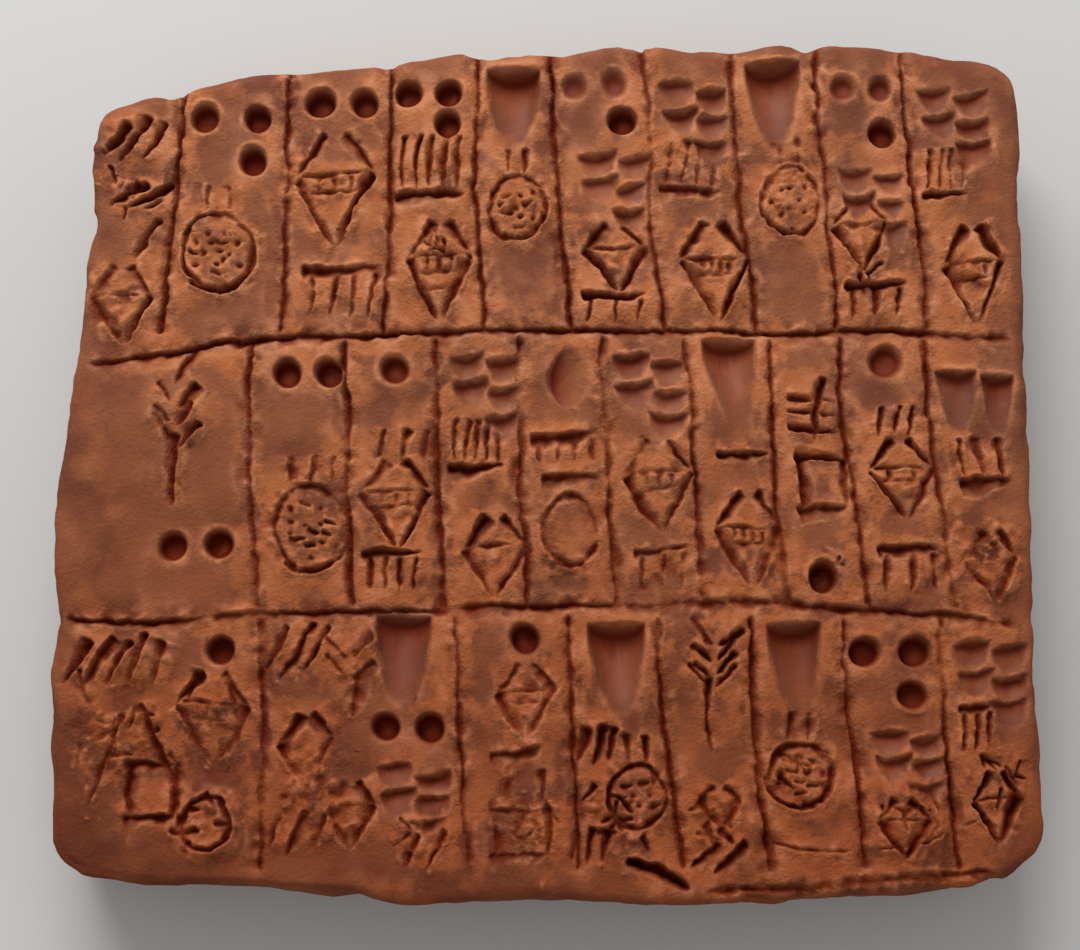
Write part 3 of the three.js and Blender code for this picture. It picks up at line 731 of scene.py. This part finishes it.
def blank_tablet(settings):
    """The tablet before it is written on: a fine grid filled into the outline, its border rolled under."""
    bpy.ops.object.select_all(action="DESELECT")
    columns = round((WIDTH - 2 * settings.rim_radius) / settings.mesh_cell)
    rows = round((HEIGHT - 2 * settings.rim_radius) / settings.mesh_cell)
    bpy.ops.mesh.primitive_grid_add(x_subdivisions=columns, y_subdivisions=rows, size=2)
    tablet = bpy.context.object
    tablet.name = tablet.data.name = "written_tablet"
    points = read_vectors(tablet.data, "co")
    points[:, :2] = fill_outline(points[:, :2], outline_of(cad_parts["tablet"]))
    points[:, :2] *= inset_scale(settings.rim_radius)
    points[:, 2] = THICKNESS
    write_points(tablet.data, points)
    bpy.ops.object.mode_set(mode="EDIT")
    bpy.ops.mesh.select_mode(type="EDGE")
    bpy.ops.mesh.select_all(action="DESELECT")
    bpy.ops.mesh.select_non_manifold()
    last_scale, last_height = inset_scale(settings.rim_radius), THICKNESS
    for inset, height in edge_levels(settings):
        scale = inset_scale(inset)
        bpy.ops.mesh.extrude_region_move(TRANSFORM_OT_translate={"value": (0, 0, height - last_height)})
        bpy.ops.transform.resize(
            value=(scale[0] / last_scale[0], scale[1] / last_scale[1], 1), center_override=(0, 0, 0))
        last_scale, last_height = scale, height
    bpy.ops.mesh.edge_face_add()
    bpy.ops.mesh.select_all(action="SELECT")
    bpy.ops.mesh.normals_make_consistent(inside=False)
    bpy.ops.object.mode_set(mode="OBJECT")
    return tablet


def write_tablet(tablet, face):
    """Presses the written face into the blank and makes the sides uneven, as a hand leaves them."""
    points = read_vectors(tablet.data, "co")
    normals = read_vectors(tablet.data, "normal")
    up = np.clip((normals[:, 2] - 0.1) / 0.5, 0, 1)
    relief = up * face.at(face.height, points[:, 0] / MM, points[:, 1] / MM)
    x, y, z = points.T / MM
    dents = np.abs(normals[:, 1]) * face.at(face.dents, x, z + 20 * np.sign(normals[:, 1]))
    dents += np.abs(normals[:, 0]) * face.at(face.dents, y, z - 10 + 20 * np.sign(normals[:, 0]))
    beside = (1 - np.abs(normals[:, 2])) ** 0.5
    dents *= np.clip(z / SMOOTH_FOOT, 0.2, 1)
    dents += RIM_BUMPS * face.at(face.ragged, x, y) * np.clip((z - ROUGH_RIM) / 3, 0, 1)
    for chip_x, chip_y, reach, depth in CHIPS:
        near = np.exp(-((x - chip_x) ** 2 + (y - chip_y) ** 2) / reach**2)
        dents -= depth * near * np.clip((z - CHIP_FOOT) / CHIP_RISE, 0, 1)
    points += normals * ((relief + beside * dents) * MM)[:, None]
    points[:, 2] = np.maximum(points[:, 2], 0)
    write_points(tablet.data, points)


def thin(tablet, triangles):
    """Thins the mesh where the clay is smooth."""
    faces = sum(len(polygon.vertices) - 2 for polygon in tablet.data.polygons)
    modifier = tablet.modifiers.new("Thin", "DECIMATE")
    modifier.ratio = min(1.0, triangles / faces)
    bpy.ops.object.modifier_apply(modifier=modifier.name)


def mark_wear_and_shade(tablet, face):
    """Stores at each point how the clay is rubbed, torn, polished and fresh, the masks of its painted shade,
    and where it is written on.
    """
    points = read_vectors(tablet.data, "co")
    up = np.clip(read_vectors(tablet.data, "normal")[:, 2] / 0.4, 0, 1)
    wear_and_shade = {"written": up}
    for name, field, plain in (
            ("deep_shade", face.deep_shade, 0.0), ("crease_shade", face.crease_shade, 0.0), ("rubbed", face.rubbed, 0.12),
            ("torn", face.torn, 0.3), ("polish", face.polish, 0.0), ("fresh", face.fresh, 0.1)):
        wear_and_shade[name] = plain + up * (face.at(field, points[:, 0] / MM, points[:, 1] / MM) - plain)
    for name, values in wear_and_shade.items():
        attribute = tablet.data.attributes.new(name, "FLOAT", "POINT")
        attribute.data.foreach_set("value", values.astype(np.float32))


class Flow:
    """A shader socket that takes part in Python expressions."""

    def __init__(self, shader, socket):
        self.shader = shader
        self.socket = socket

    def math(self, operation, first, second, clamp=False):
        settings = {"operation": operation, "use_clamp": clamp}
        return self.shader.node("ShaderNodeMath", settings, {0: first, 1: second})

    def __add__(self, other):
        return self.math("ADD", self, other)

    def __sub__(self, other):
        return self.math("SUBTRACT", self, other)

    def __mul__(self, other):
        return self.math("MULTIPLY", self, other)

    def __radd__(self, other):
        return self.math("ADD", other, self)

    def __rsub__(self, other):
        return self.math("SUBTRACT", other, self)

    def __rmul__(self, other):
        return self.math("MULTIPLY", other, self)

    def clamped(self):
        return self.math("ADD", self, 0.0, clamp=True)


class Shader:
    """A material's node tree, built from expressions."""

    def __init__(self, name):
        self.material = bpy.data.materials.new(name)
        self.material.use_nodes = True
        self.tree = self.material.node_tree
        self.surface = self.tree.nodes["Principled BSDF"]

    def node(self, kind, settings=None, sockets=None, output=0):
        """Adds a node: its settings first, then the values or links of its sockets. Returns one output."""
        node = self.tree.nodes.new(kind)
        for name, value in (settings or {}).items():
            setattr(node, name, value)
        for name, value in (sockets or {}).items():
            self.feed(node.inputs[name], value)
        return Flow(self, node.outputs[output])

    def feed(self, socket, value):
        if isinstance(value, Flow):
            self.tree.links.new(value.socket, socket)
        else:
            socket.default_value = value

    def noise(self, size, detail=3.0, roughness=0.55, offset=0.0):
        """Noise whose grains have the given size in metres."""
        place = self.node("ShaderNodeTexCoord", output="Object")
        shift = (offset, offset, offset)
        moved = self.node("ShaderNodeVectorMath", {"operation": "ADD"}, {0: place, 1: shift})
        sockets = {"Vector": moved, "Scale": 1 / size, "Detail": detail, "Roughness": roughness}
        return self.node("ShaderNodeTexNoise", None, sockets)

    def spread(self, value, low, high):
        """The value stretched so that low becomes 0 and high becomes 1."""
        sockets = {"Value": value, "From Min": low, "From Max": high}
        return self.node("ShaderNodeMapRange", {"clamp": True, "interpolation_type": "SMOOTHSTEP"}, sockets)

    def mix(self, share, first, second, blend="MIX"):
        """Two colours mixed."""
        settings = {"data_type": "RGBA", "blend_type": blend}
        return self.node("ShaderNodeMix", settings, {0: share, 6: first, 7: second}, 2)

    def height_on_face(self):
        """The place up the written face, in metres from its middle."""
        place = self.node("ShaderNodeTexCoord", output="Object")
        return self.node("ShaderNodeSeparateXYZ", None, {"Vector": place}, "Y")

    def wear_and_shade(self, name):
        return self.node("ShaderNodeAttribute", {"attribute_name": name}, output="Fac")


def opaque(colour):
    return (*colour, 1.0)


def clay(settings):
    """Reddish clay: mottled floors, rubbed edges made brighter also by a painted highlight, and painted shade
    in the hollows, the creases, on the sides and towards the bottom of the face.
    """
    shader = Shader("written_clay")
    deep_shade, crease_shade, rubbed, torn, polish, fresh, written = (
        shader.wear_and_shade(name) for name in ("deep_shade", "crease_shade", "rubbed", "torn", "polish", "fresh", "written"))
    patches = shader.spread(shader.noise(PATCH_SIZE, 4.0, 0.6), 0.4, 0.62) * (0.35 + 0.5 * written)
    blotches = shader.spread(shader.noise(BLOTCH_SIZE, 5.0, 0.62, 5.0) + 0.17 * fresh, 0.56, 0.66)
    mottle = shader.spread(shader.noise(MOTTLE_SIZE, 4.0, 0.6, 3.0), 0.36, 0.66)
    grain = shader.noise(GRAIN_SIZE, 3.0, 0.6, 7.0)
    floor = shader.mix(patches, opaque(settings.floor_colour), opaque(settings.shade_colour))
    colour = shader.mix((0.2 + 0.65 * fresh) * blotches, floor, opaque(settings.fresh_colour))
    # Rubbed edges, paler partly from real rubbing and partly as a painted highlight
    rubbed_and_highlight = rubbed * (0.1 + 0.7 * mottle) + 0.1 * torn * mottle
    colour = shader.mix(rubbed_and_highlight.clamped(), colour, opaque(settings.rubbed_highlight_colour))
    # Painted shade: darker towards the bottom of the face and on the sides
    lower = shader.spread(shader.height_on_face(), PAINTED_SHADE_TOP, PAINTED_SHADE_BOTTOM)
    painted_shade = (lower + 0.8 * (1 - written)).clamped()
    colour = shader.mix(painted_shade, colour, opaque(settings.painted_shade_tint), "MULTIPLY")
    # Painted shade: broad hollows redder and darker, creases near black
    colour = shader.mix(0.75 * deep_shade, colour, opaque(settings.deep_shade_colour))
    painted_crease_shade = (0.9 * crease_shade * (0.8 + 0.4 * grain)).clamped()
    colour = shader.mix(painted_crease_shade, colour, opaque(settings.crease_shade_colour))
    shader.feed(shader.surface.inputs["Base Color"], colour)
    roughness = (0.6 + 0.14 * mottle + 0.2 * crease_shade - 0.1 * polish).clamped()
    shader.feed(shader.surface.inputs["Roughness"], roughness)
    sheen = (0.02 + 0.5 * polish * (1 - deep_shade) + 0.3 * rubbed * mottle).clamped()
    shader.feed(shader.surface.inputs["Coat Weight"], sheen)
    shader.feed(shader.surface.inputs["Coat Roughness"], SHEEN_ROUGHNESS)
    shader.feed(shader.surface.inputs["Specular IOR Level"], SPECULAR_LEVEL)
    relief = (grain + 0.7 * shader.noise(SKIN_SIZE, 4.0, 0.6, 11.0)) * (0.6 + 0.8 * torn - 0.3 * polish)
    sockets = {"Strength": SKIN_STRENGTH, "Distance": SKIN_DEPTH, "Height": relief}
    bump = shader.node("ShaderNodeBump", None, sockets, "Normal")
    shader.feed(shader.surface.inputs["Normal"], bump)
    return shader.material


class CLAY_OT_tablet(bpy.types.Operator):
    """Model the written tablet"""

    bl_idname = "clay.tablet"
    bl_label = "Written tablet"

    def execute(self, context):
        settings = context.scene.tablet_settings
        face = ClayFace(WIDTH / MM, HEIGHT / MM, settings.relief_cell / MM, settings.seed)
        face.rule()
        face.write_top_row()
        face.write_middle_row()
        face.write_bottom_row()
        face.finish()
        tablet = blank_tablet(settings)
        write_tablet(tablet, face)
        thin(tablet, settings.triangles)
        mark_wear_and_shade(tablet, face)
        bpy.ops.object.shade_smooth()
        tablet.data.materials.append(clay(settings))
        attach(tablet, "root")
        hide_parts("tablet")
        return {"FINISHED"}


class CLAY_OT_stage(bpy.types.Operator):
    """Lay out the floor, the light and the camera"""

    bl_idname = "clay.stage"
    bl_label = "Stage"

    def execute(self, context):
        settings = context.scene.stage_settings
        bpy.ops.object.select_all(action="DESELECT")
        bpy.ops.mesh.primitive_plane_add(size=FLOOR_SIZE, location=(0, 0, 0))
        floor = context.object
        floor.name = "floor"
        shader = Shader("pale_floor")
        shader.feed(shader.surface.inputs["Base Color"], opaque(settings.floor_colour))
        shader.feed(shader.surface.inputs["Roughness"], FLOOR_ROUGHNESS)
        floor.data.materials.append(shader.material)
        self.light_window(settings)
        self.light_sky(context.scene, settings)
        self.set_camera(context.scene, settings)
        return {"FINISHED"}

    def light_window(self, settings):
        bpy.ops.object.light_add(type="AREA", location=WINDOW_PLACE)
        window = bpy.context.object
        window.name = "window_light"
        window.data.energy = settings.window_power
        window.data.shape = "DISK"
        window.data.size = WINDOW_SIZE
        window.data.color = WINDOW_COLOUR
        window.rotation_euler = (-WINDOW_PLACE).to_track_quat("-Z", "Y").to_euler()

    def light_sky(self, scene, settings):
        scene.world = bpy.data.worlds.new("sky")
        scene.world.use_nodes = True
        background = scene.world.node_tree.nodes["Background"]
        background.inputs["Color"].default_value = opaque(SKY_COLOUR)
        background.inputs["Strength"].default_value = settings.sky

    def set_camera(self, scene, settings):
        aim = Vector((settings.aim_x, settings.aim_y, THICKNESS))
        away = Vector((0, -math.sin(settings.tilt), math.cos(settings.tilt)))
        bpy.ops.object.camera_add(location=aim + settings.distance * away)
        camera = bpy.context.object
        camera.name = "camera"
        camera.rotation_euler = (settings.tilt, 0, 0)
        camera.data.lens = settings.lens
        camera.data.sensor_width = SENSOR_WIDTH
        camera.data.clip_start = NEAREST
        scene.camera = camera
        scene.view_settings.view_transform = "Standard"


class CLAY_PT_panel(bpy.types.Panel):
    bl_idname = "CLAY_PT_panel"
    bl_label = "Clay tablet"
    bl_space_type = "VIEW_3D"
    bl_region_type = "UI"
    bl_category = "Tablet"

    def draw(self, context):
        for operator, group in ((CLAY_OT_tablet, context.scene.tablet_settings),
                                (CLAY_OT_stage, context.scene.stage_settings)):
            column = self.layout.column(align=True)
            column.operator(operator.bl_idname)
            for name in group.__annotations__:
                column.prop(group, name)


CLASSES = (TabletSettings, StageSettings, CLAY_OT_tablet, CLAY_OT_stage, CLAY_PT_panel)


def register():
    for item in CLASSES:
        bpy.utils.register_class(item)
    bpy.types.Scene.tablet_settings = PointerProperty(type=TabletSettings)
    bpy.types.Scene.stage_settings = PointerProperty(type=StageSettings)


def unregister():
    del bpy.types.Scene.stage_settings
    del bpy.types.Scene.tablet_settings
    for item in reversed(CLASSES):
        bpy.utils.unregister_class(item)


def main():
    register()
    bpy.ops.clay.tablet()
    bpy.ops.clay.stage()


if __name__ == "__main__":
    main()
